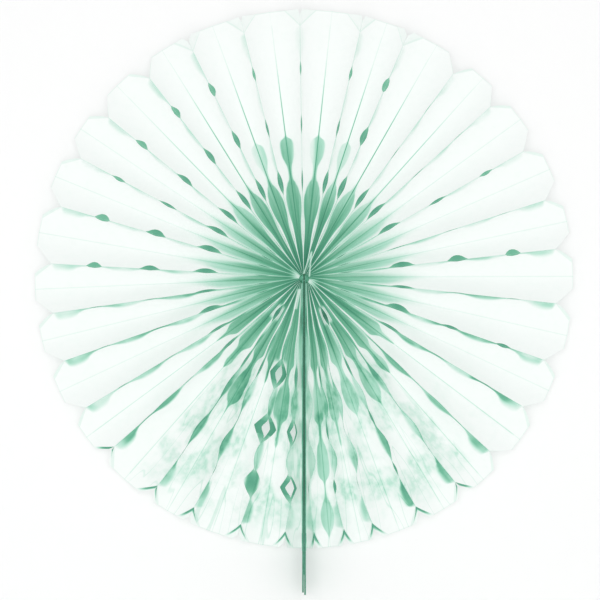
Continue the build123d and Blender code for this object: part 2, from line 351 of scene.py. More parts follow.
class FoldRule(Workbench):
    """The Geometry Nodes tree that folds a flat strip of tissue along its fold lines.

    A panel bows toward its crest by BOW. LEAN says how much more the panel below a crest bows at the sides.
    """

    BOW: Curve = ((0, 0.0), (90, 0.02), (153, 0.42), (208, 0.72), (235, 0.6), (252, 0.3), (269, 0.12))
    LEAN: Curve = ((0, 0.9), (98, 0.9), (153, 0.65), (208, 0.45), (269, 0.35))
    LEAST_SHOWN = 0.2
    SLUMP_WAVE = 0.85
    RIM_SOFTNESS = 0.81

    def __init__(self, sizes: FanSizes) -> None:
        """Opens the tree, with its named inputs.

        Args:
            sizes: the fan's sizes.
        """
        super().__init__(bpy.data.node_groups.new("Fold the tissue", "GeometryNodeTree"))
        self.tree.is_modifier = True
        self.sizes = sizes
        for name, kind in (("Geometry", "Geometry"), ("Fold Lines", "Object"), ("Finish", "Material")):
            self.offer(name, kind)
        for name in self.numbers():
            self.offer(name, "Float")
        self.offer("Geometry", "Geometry", "OUTPUT")
        self.given = self.node("NodeGroupInput")
        self.sized = {name: Field(self.given.outputs[name]) for name in self.numbers()}

    def numbers(self) -> dict[str, float]:
        """The tree's number inputs, named after the fan's sizes.

        Returns:
            What this fan gives each of them, with the ply still to be set.
        """
        names = (
            "hub_radius fan_radius pleat_width opening_slope tissue ply_gap pressed_share hole_pitch "
            "first_hole slump sway crumple crumple_scale crumple_seed"
        )
        values = {name.replace("_", " ").title(): getattr(self.sizes, name) for name in names.split()}
        return {"Ply": 0.0} | values

    def build(self) -> None:
        """Builds the tree: the folding, the numbers kept for the finish, and the finish itself."""
        place, kept = self.fold()
        flat, to_fold = self.given.outputs["Geometry"], 1.0 - self.read("lap")
        moved = {"Geometry": flat, "Selection": to_fold, "Position": place}
        geometry = self.node("GeometryNodeSetPosition", moved).outputs[0]
        for name, value in kept.items():
            geometry = self.keep(geometry, name, value)
        realized = self.node("GeometryNodeRealizeInstances", {"Geometry": geometry}).outputs[0]
        dressed = {"Geometry": realized, "Material": self.given.outputs["Finish"]}
        self.node("NodeGroupOutput", {"Geometry": self.node("GeometryNodeSetMaterial", dressed).outputs[0]})

    def fold(self) -> tuple[Socket, dict[str, Field]]:
        """Works out where each point of the strip goes.

        Returns:
            The folded position, and the fields that the finish reads.
        """
        radius, loose, sized = self.read("radius"), self.read("loose"), self.sized
        along = (radius - sized["Hub Radius"]) / (sized["Fan Radius"] - sized["Hub Radius"])
        valley, crest = (self.line_point(self.read(name), along) for name in ("valley", "crest"))
        rim_x, rim_z = self.line_end(self.read("crest"), 1)
        upper = self.read("side") * (rim_x / sized["Fan Radius"]) * -1.0
        gap = ((crest[0] - valley[0]) ** 2.0 + (crest[1] - valley[1]) ** 2.0).math("SQRT")
        bow = (radius.curve(self.BOW) - upper * radius.curve(self.LEAN)).clip(-1.0, 1.0)
        drawn = self.drawn(gap, bow)
        shown = (drawn + bow * drawn * (1.0 - drawn)) * (1.0 - self.read("opening"))
        sway = self.winding(radius) * sized["Sway"] * loose * loose * radius * drawn**3.0 * rim_x.math("SIGN")
        x = shown.between(valley[0], crest[0]) - sway * rim_z / sized["Fan Radius"]
        z = shown.between(valley[1], crest[1]) + sway * rim_x / sized["Fan Radius"]
        height = self.height(radius, along, loose, drawn)
        return self.join(x, -height, z), {"plan": shown, "upper": upper, "gap": gap}

    def drawn(self, gap: Field, bow: Field) -> Field:
        """Where a point lies across its panel, once the panel is drawn to its crest beside a hole.

        Args:
            gap: the space from the valley to the crest, seen from the front.
            bow: how far the panel bows toward the crest.

        Returns:
            0 at the valley, and 1 at the crest.
        """
        across, reach = self.read("across"), self.read("reach")
        missing = 1.0 - reach
        parting = (self.read("parting") / (gap * (1.0 - bow).at_least(self.LEAST_SHOWN))).at_most(missing)
        parting = self.read("opening").ramp(0.0, 0.15).between(parting, missing)
        return across + (missing - parting) * (across / reach) ** 3.0

    def height(self, radius: Field, along: Field, loose: Field, drawn: Field) -> Field:
        """How far the paper stands in front of the wall.

        Args:
            radius: the distance from the hub.
            along: the same as a share, 0 at the hub and 1 at the rim.
            loose: how loose the tissue is.
            drawn: where the point lies across its panel.

        Returns:
            A height.
        """
        sized = self.sized
        width, foot = sized["Pleat Width"], radius * sized["Opening Slope"]
        steep, most = width / foot, width * sized["Pressed Share"]
        paper = (sized["Tissue"] * steep).at_most(most)
        step = paper + (sized["Ply Gap"] * steep).at_most(most)
        wave = ((self.read("crest") - 1.0) * self.SLUMP_WAVE).math("SINE").math("MULTIPLY_ADD", 0.5, 0.5)
        top = (width * width - foot**2.0).math("SQRT") * (1.0 - sized["Slump"] * loose * along * wave)
        height = (drawn ** (1.0 + along * self.RIM_SOFTNESS)).between(paper + step, top) - step * sized["Ply"]
        return height + self.crumple(loose, along) - self.read("skin") * paper

    def winding(self, radius: Field) -> Field:
        """How a loose crest winds.

        Args:
            radius: the distance from the hub.

        Returns:
            -1 at the middle of each hole, 1 half way between two, and 0 at the hub and the corner cuts.
        """
        first, hub, notch = self.sized["First Hole"], self.sized["Hub Radius"], self.sizes.notch_radius
        turns = ((radius - first) / self.sized["Hole Pitch"]).clip(0.0, self.sizes.holes - 1.0)
        start = (radius - hub) / (first - hub)
        end = (notch - radius) / (notch - self.sizes.hole_radii[-1])
        return (turns * math.tau).math("COSINE") * start.at_most(end).clip(0.0, 1.0) * -1.0

    def crumple(self, loose: Field, along: Field) -> Field:
        """How far soft creases lift the paper, the same in both plies.

        Args:
            loose: how loose the tissue is.
            along: 0 at the hub and 1 at the rim.

        Returns:
            A height, up or down.
        """
        x, y, _ = self.split(self.node("GeometryNodeInputPosition").outputs[0])
        wave = self.noise(self.join(x, y, self.sized["Crumple Seed"]), self.sized["Crumple Scale"], 3.0) - 0.5
        return wave * self.sized["Crumple"] * (0.22 + loose * 0.9) * along.ramp(0.02, 0.35)

    def line_end(self, line: Field, end: int) -> tuple[Field, Field]:
        """One end of a fold line, read from the fold line guide.

        Args:
            line: the line's number.
            end: 0 at the hub and 1 at the rim.

        Returns:
            Its x and z.
        """
        inputs = {"Object": self.given.outputs["Fold Lines"]}
        guide = self.node("GeometryNodeObjectInfo", inputs, transform_space="ORIGINAL")
        where = self.node("GeometryNodeInputPosition").outputs[0]
        inputs = {"Geometry": guide.outputs["Geometry"], "Value": where, "Index": line * 2.0 + float(end)}
        sample = self.node("GeometryNodeSampleIndex", inputs, data_type="FLOAT_VECTOR", domain="POINT")
        x, _, z = self.split(sample.outputs["Value"])
        return x, z

    def line_point(self, line: Field, along: Field) -> tuple[Field, Field]:
        """The x and z of a point part of the way along a fold line, with the hub at 0 and the rim at 1."""
        (hub_x, hub_z), (rim_x, rim_z) = self.line_end(line, 0), self.line_end(line, 1)
        return along.between(hub_x, rim_x), along.between(hub_z, rim_z)

    def read(self, name: str) -> Field:
        """A number kept on the flat strip."""
        node = self.node("GeometryNodeInputNamedAttribute", {"Name": name}, data_type="FLOAT")
        return Field(node.outputs["Attribute"])

    def keep(self, geometry: Socket, name: str, value: Field) -> Socket:
        """Stores a field for the finish to read.

        Args:
            geometry: the folded strip.
            name: what the finish knows the field by.
            value: the field.

        Returns:
            The strip with the field on it.
        """
        inputs = {"Geometry": geometry, "Name": name, "Value": value}
        settings = {"data_type": "FLOAT", "domain": "FACE" if name == "upper" else "POINT"}
        return self.node("GeometryNodeStoreNamedAttribute", inputs, **settings).outputs[0]


class PaintedFoldShade(Workbench):
    """A shader group of painted shade: how much shade is painted on a place of the tissue where its pleats would
    lie in shade, from its place on the strip.

    Its curves go by the distance from the hub in millimetres. A painted shadow lies beside each crest, on the
    panel that faces down. Side pleats keep painted shade further out above their crest than below it. Leaf shapes
    are painted shade in the valleys between two crests, neat at the top and slack near the seam. The last values
    say how strong each effect is.
    """

    BAND_WIDTH: Curve = (
        (0, 0.3), (60, 0.3), (98, 0.14), (125, 0.5), (153, 0.12), (181, 0.5), (209, 0.1), (226, 0.4),
        (243, 0.9), (251, 0.6), (254, 0), (269, 0),
    )
    BAND_DEPTH: Curve = (
        (0, 0), (60, 0.45), (100, 0.56), (150, 0.5), (200, 0.42), (235, 0.4), (248, 0.36), (254, 0),
        (269, 0),
    )
    SIDE_DEPTH: Curve = (
        (0, 0.84), (20, 0.68), (45, 0.51), (70, 0.39), (90, 0.28), (105, 0.17), (120, 0.06), (140, 0),
        (269, 0),
    )
    SIDE_ABOVE: Curve = ((0, 0.98), (50, 0.95), (75, 0.86), (95, 0.5), (108, 0.25), (140, 0.1), (269, 0.1))
    SIDE_BELOW: Curve = ((0, 0.98), (40, 0.92), (60, 0.68), (80, 0.36), (100, 0.2), (140, 0.1), (269, 0.1))
    TOP_DEPTH: Curve = (
        (0, 0.84), (20, 0.76), (45, 0.62), (82, 0.5), (110, 0.46), (130, 0.44), (146, 0.38), (152, 0),
        (269, 0),
    )
    TOP_WIDTH: Curve = (
        (0, 0.92), (28, 0.84), (50, 0.66), (72, 0.86), (86, 0.7), (97, 0.36), (106, 0.14), (118, 0.3),
        (130, 0.46), (140, 0.34), (147, 0), (269, 0),
    )
    SLACK_DEPTH: Curve = (
        (0, 0.84), (45, 0.59), (98, 0.47), (130, 0.46), (153, 0.44), (200, 0.44), (240, 0.46), (256, 0.4),
        (262, 0),
    )
    SLACK_WIDTH: Curve = (
        (0, 0.92), (30, 0.8), (60, 0.74), (84, 0.76), (98, 0.28), (112, 0.5), (128, 0.66), (142, 0.5),
        (153, 0.14), (170, 0.45), (186, 0.56), (200, 0.36), (209, 0.06), (226, 0.3), (242, 0.5),
        (254, 0.34), (262, 0),
    )
    GRAIN, CREASE, BAND, CUT_EDGE, LAP = 1.2, 0.5, 0.55, 0.08, 0.3
    HUB_LIGHT, HOLE_LIGHT, NOTCH_LIGHT, SEAM_LIGHT, BACK_LIGHT = 0.85, 0.93, 0.9, 0.8, 0.3

    def __init__(self, sizes: FanSizes) -> None:
        """Opens the group and reads the numbers that the tissue keeps.

        Args:
            sizes: the fan's sizes.
        """
        super().__init__(bpy.data.node_groups.new("Painted fold shade", "ShaderNodeTree"))
        self.sizes = sizes
        for name in ("Painted Hole Shade", "Crumple Shade Strength"):
            self.offer(name, "Float")
        self.offer("Shade", "Float", "OUTPUT")
        given = self.node("NodeGroupInput").outputs
        self.painted_hole_shade, self.crumple_shade_strength = Field(given["Painted Hole Shade"]), Field(given["Crumple Shade Strength"])
        self.radius, self.plan, self.gap = (self.read(name) for name in ("radius", "plan", "gap"))
        self.upper, self.loose, self.opening = (self.read(name) for name in ("upper", "loose", "opening"))
        self.skin, self.hollow = self.read("skin"), self.read("hollow")
        self.from_valley, self.from_crest = self.plan * self.gap, (1.0 - self.plan) * self.gap
        self.x, _, self.z = self.split(self.node("ShaderNodeTexCoord").outputs["Object"])
        self.rise = self.z / (self.x * self.x + self.z * self.z).math("SQRT")
        self.turn = self.z.math("ARCTAN2", self.x)

    def build(self) -> Tree:
        """Builds the group, from the pleats' painted shade to the painted shade that shows through a hole.

        Returns:
            A group whose inputs set the painted shade behind holes and the painted crumple shade. Its output
            Shade is
            the painted shade: 0 for lit paper, 1 for the deepest.
        """
        # Painted shade: pleats, valleys and a painted shadow beside each crest turn the tissue green where folds
        # would be in shade.
        shade = self.pleats().at_least(self.shadow_band())
        grain = self.grain(26.0, 12.0, 0.0, 4.0)
        # Painted highlights beside the hub take the painted shade away there.
        shade = shade * (0.4 + grain * self.GRAIN) * (1.0 - self.painted_hub_highlights() * self.HUB_LIGHT)
        shade = shade + self.fold_lines(shade)
        # Painted shade of crumples and creases in the loose tissue.
        shade = shade + self.crumple_shade() + self.creases() * self.crumple_shade_strength * self.CREASE
        # Painted light beside slack holes.
        shade = shade * (1.0 - self.painted_light_at_holes() * self.HOLE_LIGHT)
        # Painted light in the notches at the top takes the painted shade off there.
        painted_notch_light = self.radius.ramp(0.252, 0.256) * self.upper.ramp(0.3, 0.0) * self.rise.ramp(0.5, 0.8)
        # The ply behind takes painted shade where holes and corner cuts of the ply before it show it.
        shade = (shade * (1.0 - painted_notch_light * self.NOTCH_LIGHT)).at_least(self.shade_seen_through())
        # The laps of the back ply take a painted shade.
        shade = shade.at_least(self.read("lap") * self.LAP)
        shade = shade + self.cut_edge() * (1.0 - self.painted_hole_shade) * self.CUT_EDGE
        # The back skin of each ply takes less of the painted shade.
        self.node("NodeGroupOutput", {"Shade": (shade * (1.0 - self.skin * self.BACK_LIGHT)).clip(0.0, 1.0)})
        return self.tree

    def grain(self, turns: float, radii: float, seed: float, detail: float) -> Field:
        """Noise that follows the pleats, with its fineness round the hub and away from it."""
        return self.noise(self.join(self.turn * turns, self.radius * radii, seed), 1.0, detail)

    def pleats(self) -> Field:
        """The painted shade of the pleats: leaf shapes at the top and near the seam, plain pleats at the sides.

        Returns:
            A shade, 0 where the paper is lit.
        """
        radius, rise, x = self.radius, self.rise, self.x
        on_right = x.ramp(8 * MM, 30 * MM) * self.upper.ramp(0.55, 0.1)
        leaf_shade = self.leaf_shade() * self.beside_seam() * (1.0 - (on_right * 0.42 + 0.05) * radius.ramp(0.06, 0.1))
        sides = self.sides() * (0.95 - on_right * 0.3)
        leafy = rise.ramp(0.5, 0.95).at_least(self.hollow.ramp(101 * MM, 104 * MM))
        return leafy.between(sides, leaf_shade)

    def sides(self) -> Field:
        """The painted shade of the pleats at the sides, which reaches further out above each crest than below it.

        Returns:
            A shade, 0 beyond the pleats' green ends.
        """
        above = self.upper.ramp(-0.25, 0.25)
        reach = above.between(self.radius.curve(self.SIDE_BELOW), self.radius.curve(self.SIDE_ABOVE))
        return self.radius.curve(self.SIDE_DEPTH) * self.plan.ramp(reach + 0.28, reach - 0.3)

    def leaf_shade(self) -> Field:
        """Painted leaf-shaped shade in the valleys between two crests, at the top and in the loose tissue.

        Returns:
            A shade, 0 outside the leaf shapes.
        """
        radius, plan, rise = self.radius, self.plan, self.rise
        width = radius.curve(self.TOP_WIDTH)
        depth = radius.curve(self.TOP_DEPTH) * rise.ramp(0.9, 0.985).at_least(radius.ramp(0.112, 0.1))
        top = depth * plan.ramp(width + 0.07, width - 0.07)
        width = radius.curve(self.SLACK_WIDTH) * radius.ramp(self.hollow, self.hollow - 26 * MM) ** 0.5
        slack = radius.curve(self.SLACK_DEPTH) * plan.ramp(width + 0.05, width - 0.07)
        return rise.ramp(-0.1, 0.1).between(slack, top)

    def beside_seam(self) -> Field:
        """Less shade just beside the seam, where the end panels lie open, and further out on its left.

        Returns:
            What the shade is multiplied by.
        """
        beside = abs(self.x).ramp(14 * MM, 8 * MM) * self.radius.ramp(0.09, 0.125)
        left = self.x.ramp(-2 * MM, -6 * MM) * self.radius.ramp(0.15, 0.21)
        return 1.0 - beside.at_least(left * 0.6) * self.SEAM_LIGHT

    def shadow_band(self) -> Field:
        """The painted shadow beside each crest, pale green, on the panel that faces down.

        Returns:
            A shade, 0 outside the painted shadow.
        """
        low_down = self.rise.ramp(0.4, -0.7)
        width = self.radius.curve(self.BAND_WIDTH) * (8.0 + low_down * 4.0) * MM
        edge = self.from_crest.ramp(width, width * (0.1 + low_down * 0.3))
        shadow_band = edge * (-self.upper).ramp(-0.3, 0.6) * self.radius.curve(self.BAND_DEPTH)
        shadow_band = shadow_band * (0.6 + low_down * 0.75) * (1.0 - self.rise.ramp(0.1, 0.5) * 0.2)
        drift = self.grain(6.0, 22.0, 5.0, 2.0).ramp(0.36, 0.62)
        return (shadow_band * (0.35 + drift * 0.75)).at_most(self.BAND)

    def fold_lines(self, shade: Field) -> Field:
        """Painted shade along the folds: fine darker lines at the valleys and crests, deepest in the valleys at
        the top.

        Args:
            shade: the shade of the paper so far.

        Returns:
            What the lines add to it.
        """
        at_top = self.rise.ramp(0.55, 0.9) * self.radius.ramp(0.24, 0.15) * (0.55 - shade).clip(0.0, 1.0)
        valley = self.from_valley.ramp(0.9 * MM, 0.0) * (0.08 + shade * 0.2 + at_top)
        return (valley + self.from_crest.ramp(0.7 * MM, 0.0) * 0.1) * self.radius.ramp(0.03, 0.06)

    def crumple_shade(self) -> Field:
        """Patches of painted crumple shade in the loose tissue.

        Returns:
            What the patches add to the shade.
        """
        patches = self.grain(7.0, 24.0, 3.0, 4.0).ramp(0.42, 0.62)
        streaks = self.grain(40.0, 120.0, 9.0, 6.0).ramp(0.34, 0.68)
        crumple_shade = patches * (0.35 + streaks * 0.75) * self.loose.ramp(0.25, 0.85) * self.crumple_shade_strength
        return crumple_shade * self.radius.ramp(0.265, 0.22) * self.radius.ramp(0.06, 0.12)

    def creases(self) -> Field:
        """Painted shade along thin wandering creases in the loose tissue."""
        off = abs(self.grain(15.0, 8.0, 17.0, 1.0) - 0.5)
        return off.ramp(0.012, 0.002) * self.loose.ramp(0.3, 0.9) * self.radius.ramp(0.11, 0.17)

    def painted_light_at_holes(self) -> Field:
        """Painted light on the paper beside a slack hole, which takes painted shade off it."""
        beside = self.opening.ramp(0.0, 0.4) * self.read("across").ramp(0.1, 0.4)
        return beside.at_least(self.opening.ramp(0.02, 0.14) * self.radius.ramp(0.06, 0.055))

    def shade_seen_through(self) -> Field:
        """The painted shade on the ply behind, where a hole or a corner cut of the ply before it shows it.

        Returns:
            A shade, 0 away from the holes and the corner cuts.
        """
        radius, rise, loose = self.radius, self.rise, self.loose
        seen = self.near_hole() * self.from_crest.ramp(9 * MM, 4 * MM)
        seen = seen.at_least(self.opening.ramp(0.0, 0.08)).at_least(self.cut_shadow_line() * rise.ramp(-0.3, -0.5))
        inner = radius.ramp(0.06, 0.05) * loose.ramp(0.5, 0.9) * 0.3
        outer = radius.ramp(0.12, 0.22) * rise.ramp(-0.2, 0.2) * 0.25
        return seen * self.painted_hole_shade * (1.0 - self.skin) * (1.0 + inner - outer)

    def near_hole(self) -> Field:
        """1 at the middle of each hole along a crest, 0 half way between two."""
        phase = (self.radius - self.sizes.first_hole) / self.sizes.hole_pitch * math.tau
        return phase.math("COSINE").math("MULTIPLY_ADD", 0.5, 0.5) * self.radius.ramp(0.24, 0.225)

    def corner(self) -> tuple[Field, Field]:
        """The corner cut: how far along it a radius is, and how far across its panel the paper goes there."""
        share = (self.radius - self.sizes.notch_radius) / self.sizes.corner_cut
        return share, 1.0 - share * (1.0 - self.sizes.flat_half_width / self.sizes.pleat_width)

    def cut_edge(self) -> Field:
        """A thin darker line painted along the rim and the corner cuts.

        Returns:
            1 on the line, 0 off it.
        """
        (share, edge), rim = self.corner(), self.sizes.fan_radius
        corner = ((edge - self.plan) * self.gap).ramp(0.9 * MM, 0.3 * MM) * share.ramp(-0.02, 0.02)
        return self.radius.ramp(rim - 0.9 * MM, rim - 0.3 * MM).at_least(corner)

    def cut_shadow_line(self) -> Field:
        """The painted shadow line that the corner cut of the ply before it casts on the ply behind.

        Returns:
            1 on the line, 0 off it.
        """
        share, edge = self.corner()
        line = ((self.plan - edge) * self.gap).ramp(3.8 * MM, 1.4 * MM)
        return line * share.ramp(-0.04, 0.0) * share.ramp(1.0, 0.45)

    def painted_hub_highlights(self) -> Field:
        """Painted highlights where pleats would catch light: tufts beside the hub, a blade above it, a sliver
        beside the left card.

        Returns:
            1 where the painted highlight is brightest, 0 away from them.
        """
        x, z, wide = self.x, self.z, abs(self.x)
        tuft = (abs(z + x * 0.45) - wide * 0.42).ramp(1.0 * MM, -1.0 * MM) * wide.ramp(17 * MM, 5 * MM)
        sliver = abs(x + 4.8 * MM - (z + 10.5 * MM) * 0.2).ramp(2.2 * MM, 1.2 * MM)
        sliver = sliver * z.ramp(-9 * MM, -11 * MM) * z.ramp(-31 * MM, -29 * MM)
        blade = abs(abs(x - 1.4 * MM - z * 0.226) - (27.0 * MM - z) * 0.135).ramp(1.1 * MM, 0.5 * MM)
        blade = blade * z.ramp(1 * MM, 3 * MM) * z.ramp(29 * MM, 26 * MM)
        return tuft.at_least(sliver).at_least(blade * 0.9)

    def read(self, name: str) -> Field:
        """A number kept on the tissue."""
        return Field(self.node("ShaderNodeAttribute", attribute_name=name).outputs["Fac"])


class Paint(Workbench):
    """A new material on the bench, with the steps that the finishes share."""

    def __init__(self, name: str) -> None:
        """Makes the material.

        Args:
            name: the material's name.
        """
        self.material = bpy.data.materials.new(name)
        self.material.use_nodes = True
        super().__init__(self.material.node_tree)
        self.surface = self.tree.nodes["Principled BSDF"]

    def colours(self, share: Field, stops: Sequence[tuple[float, Triple]]) -> Socket:
        """Runs a value through a row of colours.

        Args:
            share: the value.
            stops: where each colour stands, from 0 to 1, and the colour.

        Returns:
            The colour.
        """
        ramp = self.node("ShaderNodeValToRGB", {"Fac": share})
        for at, _ in stops[1:-1]:
            ramp.color_ramp.elements.new(at)
        for stop, (at, colour) in zip(ramp.color_ramp.elements, stops):
            stop.position = at
            stop.color = (*colour, 1.0)
        return ramp.outputs["Color"]

    def mix(self, share: Term, first: Socket, second: Triple, way: str = "MIX") -> Socket:
        """Mixes a share of a plain colour into another."""
        inputs = {"Factor": share, "A": first, "B": (*second, 1.0)}
        return self.node("ShaderNodeMix", inputs, data_type="RGBA", blend_type=way).outputs["Result"]

    def bump(self, height: Field, strength: float, distance: float) -> Socket:
        """A normal that follows a height from 0 to 1, with how strongly it shows and how deep it is."""
        inputs = {"Strength": strength, "Distance": distance, "Height": height}
        return self.node("ShaderNodeBump", inputs).outputs["Normal"]


@dataclass(frozen=True)
class Shades:
    """The colours of the painted shade on the tissue, from lit paper to the darkest painted shade in the pleats.
    """

    lit: Triple = (0.908, 0.942, 0.926)
    pale: Triple = (0.45, 0.74, 0.61)
    middle: Triple = (0.18, 0.5, 0.34)
    deep_shade: Triple = (0.085, 0.34, 0.225)
    deepest: Triple = (0.012, 0.12, 0.06)


@dataclass(frozen=True)
class TissueFinish:
    """Thin mint tissue with painted shade: near white where no shade is painted and mint green where shade is
    painted in its folds, with fibres and fine crinkles. A share of its colour glows as painted light.

    Its numbers say how much painted shade the paper takes where a hole of the ply before it shows it, and how
    strongly painted crumple shade marks the loose tissue.
    """

    name: str
    painted_hole_shade: float
    crumple_shade_strength: float
    shades: Shades = Shades()
    steps: tuple[float, ...] = (0.0, 0.3, 0.55, 0.8, 1.0)
    fibre: float = 900.0
    crinkle: float = 140.0
    roughness: float = 0.86
    bump: float = 0.2
    bump_depth: float = 0.5 * MM
    shine: float = 0.25
    painted_glow: float = 0.5

    def build(self, fold_shade: Tree) -> Material:
        """Builds the material.

        Args:
            fold_shade: the shared shade group.

        Returns:
            The material.
        """
        paint = Paint(self.name)
        place = paint.node("ShaderNodeTexCoord").outputs["Object"]
        fibre, crinkle = (paint.noise(place, scale, 3.0) for scale in (self.fibre, self.crinkle))
        group = paint.node("ShaderNodeGroup", node_tree=fold_shade)
        paint.wire(group, {"Painted Hole Shade": self.painted_hole_shade, "Crumple Shade Strength": self.crumple_shade_strength})
        # The painted shade from the group picks the colour, from lit paper to dark green.
        shade = Field(group.outputs["Shade"]) + (crinkle - 0.5) * 0.05 + (fibre - 0.5) * 0.02
        colour = paint.colours(shade, list(zip(self.steps, astuple(self.shades))))
        # Painted light: a share of the tissue's colour glows, so the lamps' shading counts for less; the base
        # colour keeps the rest.
        reflected_share = 1.0 - self.painted_glow
        looks = {
            "Base Color": paint.mix(1.0, colour, (reflected_share, reflected_share, reflected_share), "MULTIPLY"),
            "Emission Color": colour,
            "Emission Strength": self.painted_glow,
            "Roughness": self.roughness + (fibre - 0.5) * 0.12,
            "Normal": paint.bump(crinkle * 0.8 + fibre * 0.2, self.bump, self.bump_depth),
            "Specular IOR Level": self.shine,
        }
        paint.wire(paint.surface, looks)
        return paint.material


@dataclass(frozen=True)
class BoardFinish:
    """Dyed card, tape or glue: one colour, broken up by a soft grain, with painted shade at the middle of the
    seam.
    """

    name: str
    dark: Triple
    light: Triple
    roughness: float
    grain: float = 260.0
    bump: float = 0.25
    bump_depth: float = 0.3 * MM
    deep_shade: Triple = (0.004, 0.07, 0.028)
    seam_shade_half_width: float = 0.9 * MM

    def build(self) -> Material:
        """Builds the material.

        Returns:
            The material.
        """
        paint = Paint(self.name)
        place = paint.node("ShaderNodeTexCoord").outputs["Object"]
        grain = paint.noise(place, self.grain, 4.0)
        colour = paint.colours(grain, ((0.3, self.dark), (0.7, self.light)))
        x, _, z = paint.split(place)
        # Painted shade in the gap between the cards: darker close to the middle of the seam, except low on the
        # tail.
        seam_shade = abs(x).ramp(self.seam_shade_half_width, self.seam_shade_half_width * 0.3) * z.ramp(-0.27, -0.2)
        looks = {
            "Base Color": paint.mix(seam_shade, colour, self.deep_shade),
            "Roughness": self.roughness + (grain - 0.5) * 0.2,
            "Normal": paint.bump(grain, self.bump, self.bump_depth),
        }
        paint.wire(paint.surface, looks)
        return paint.material


@dataclass
class Strip:
    """A flat mesh being cut: its points, its quads, the side of each quad's valley, and each point's numbers."""

    points: list[Triple] = field(default_factory=list)
    faces: list[tuple[int, ...]] = field(default_factory=list)
    sides: list[int] = field(default_factory=list)
    kept: dict[str, list[float]] = field(default_factory=dict)

    def add(self, point: Triple, numbers: dict[str, float]) -> int:
        """Adds a point.

        Args:
            point: where it is.
            numbers: what it keeps.

        Returns:
            Its number in the strip.
        """
        self.points.append(point)
        for name, value in numbers.items():
            self.kept.setdefault(name, []).append(value)
        return len(self.points) - 1

    def add_faces(self, faces: list[tuple[int, ...]], side: int) -> None:
        """Adds faces of one side, turned round on the left so that they face the same way."""
        self.faces += faces if side > 0 else [face[::-1] for face in faces]
        self.sides += [side] * len(faces)


